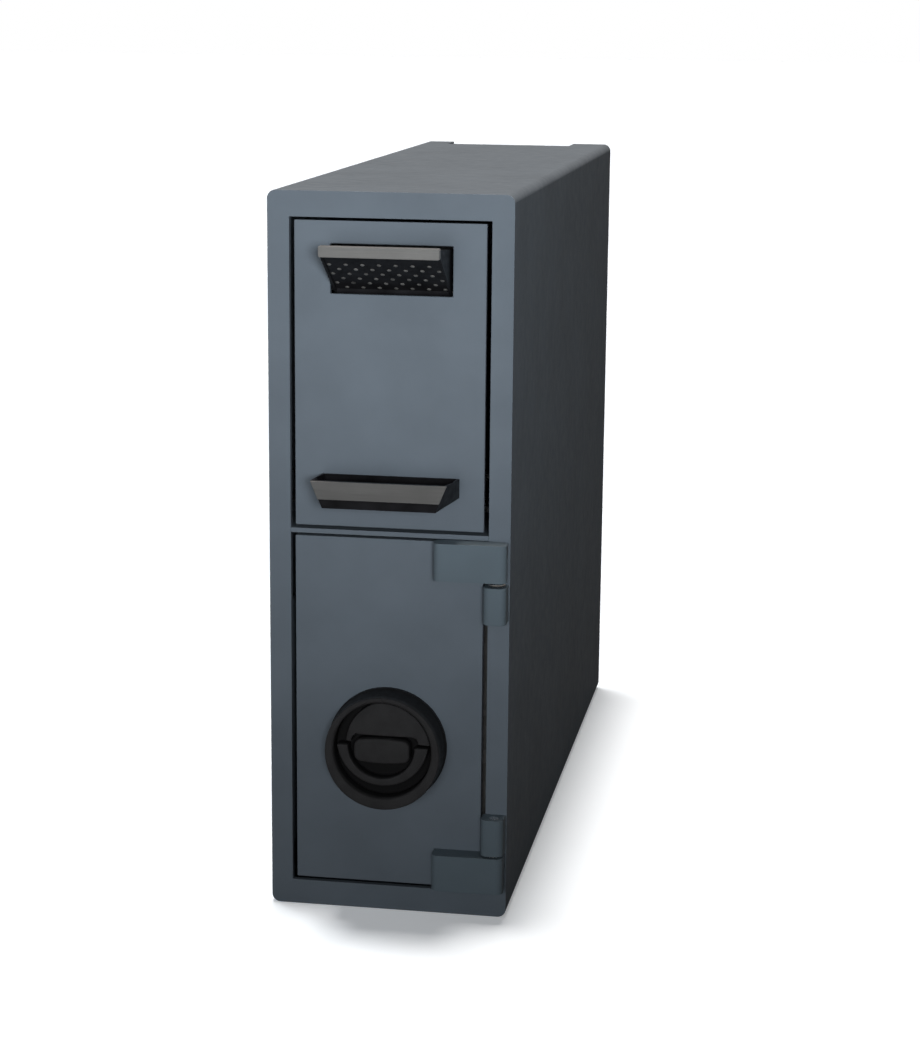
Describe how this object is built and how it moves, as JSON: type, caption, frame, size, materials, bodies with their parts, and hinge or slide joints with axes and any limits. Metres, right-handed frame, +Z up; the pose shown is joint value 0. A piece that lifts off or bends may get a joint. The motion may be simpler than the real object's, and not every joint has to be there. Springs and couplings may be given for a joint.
{
  "type": "drop safe with deposit drawer",
  "caption": "Narrow upright steel drop safe with a pull-out deposit drawer and tilting hopper above, and a hinged vault door with a round dial lock below.",
  "frame": {"origin": "centre of the underside of the body, at the middle of the four floor holes", "axes": "+Z up, -Y is the front that the drawer and door open towards, +X is the hinge side, to the right seen from the front"},
  "size_m": [0.2, 0.752, 0.6],
  "materials": {
    "slate_paint": "satin powder coat, slate blue-grey",
    "hinge_paint": "satin paint over rounded steel blocks",
    "bright_steel": "ground and polished",
    "plated_sheet": "zinc plated, dull",
    "slide_steel": "bright zinc plated, light grease",
    "screw_steel": "zinc plated",
    "buffer_rubber": "moulded",
    "lock_casting": "die cast, matt",
    "lock_brass": "machined",
    "dial_black": "moulded, fine matt grain",
    "spring_steel": "oil blackened",
    "fitting_black": "satin black powder coat",
    "brushed_lip": "fine brushed along its length"
  },
  "bodies": {
    "body": {"body_shell": "slate_paint", "front_frame": "slate_paint", "back_plate": "slate_paint", "divider_shelf": "slate_paint", "slot_guard_front": "plated_sheet", "slot_guard_rear": "plated_sheet", "bolt_keeper": "slate_paint", "top_knuckle": "hinge_paint", "bottom_knuckle": "hinge_paint", "top_hinge_pin": "bright_steel", "bottom_hinge_pin": "bright_steel", "hinge_bearings": "bright_steel", "slide_spacers": "plated_sheet", "outer_slides": "slide_steel", "drawer_stop": "plated_sheet", "stop_buffers": "buffer_rubber"},
    "door": {"door_plate": "slate_paint", "top_hinge_leaf": "hinge_paint", "bottom_hinge_leaf": "hinge_paint", "dog_bar": "plated_sheet", "door_pan": "slate_paint", "pan_posts": "plated_sheet", "pan_screws": "screw_steel", "lock_case": "lock_casting", "lock_cover": "lock_casting", "lock_screws": "screw_steel", "bolt_guides": "plated_sheet", "dial_ring": "dial_black"},
    "dial": {"dial": "dial_black", "dial_grip": "dial_black", "dial_spindle": "lock_brass", "drive_cam": "lock_brass", "combination_wheels": "lock_brass"},
    "bolts": {"bolt_carriage": "plated_sheet", "locking_bolts": "bright_steel", "bolt_screws": "screw_steel", "lock_bolt": "lock_brass", "lock_link": "plated_sheet", "fence_lever": "lock_brass"},
    "drawer": {"drawer_front": "slate_paint", "drawer_box": "plated_sheet", "chute_partition": "plated_sheet", "chute_ramp": "plated_sheet", "hopper_ears": "plated_sheet", "pivot_rod": "bright_steel", "return_springs": "spring_steel", "pull_trough": "fitting_black", "pull_face": "brushed_lip", "inner_slides": "slide_steel"},
    "slides": {"middle_slides": "slide_steel"},
    "hopper": {"hopper_plate": "fitting_black", "hopper_cheeks": "fitting_black", "rear_baffle": "fitting_black", "lip_bar": "brushed_lip"}
  },
  "joints": [
    {"name": "door_hinge", "type": "hinge", "parent": "body", "child": "door", "pos_m": [0.0905, -0.359, 0.17], "axis": [0, 0, 1], "range_deg": [0, 100]},
    {"name": "dial_turn", "type": "hinge", "parent": "door", "child": "dial", "pos_m": [-0.0005, -0.35, 0.147], "axis": [0, 1, 0], "continuous": true},
    {"name": "bolt_throw", "type": "slide", "parent": "door", "child": "bolts", "axis": [-1, 0, 0], "range_m": [0, 0.018]},
    {"name": "drawer_slide", "type": "slide", "parent": "body", "child": "drawer", "axis": [0, -1, 0], "range_m": [0, 0.32]},
    {"name": "slide_extension", "type": "slide", "parent": "body", "child": "slides", "axis": [0, -1, 0], "range_m": [0, 0.16]},
    {"name": "hopper_tilt", "type": "hinge", "parent": "drawer", "child": "hopper", "pos_m": [0.00125, -0.34, 0.5209], "axis": [1, 0, 0], "range_deg": [0, 24], "stiffness_Nm_per_rad": 0.6, "springref_deg": -28.65}
  ],
  "couplings": [
    {"joint": "slide_extension", "follows": "drawer_slide", "ratio": 0.5}
  ]
}
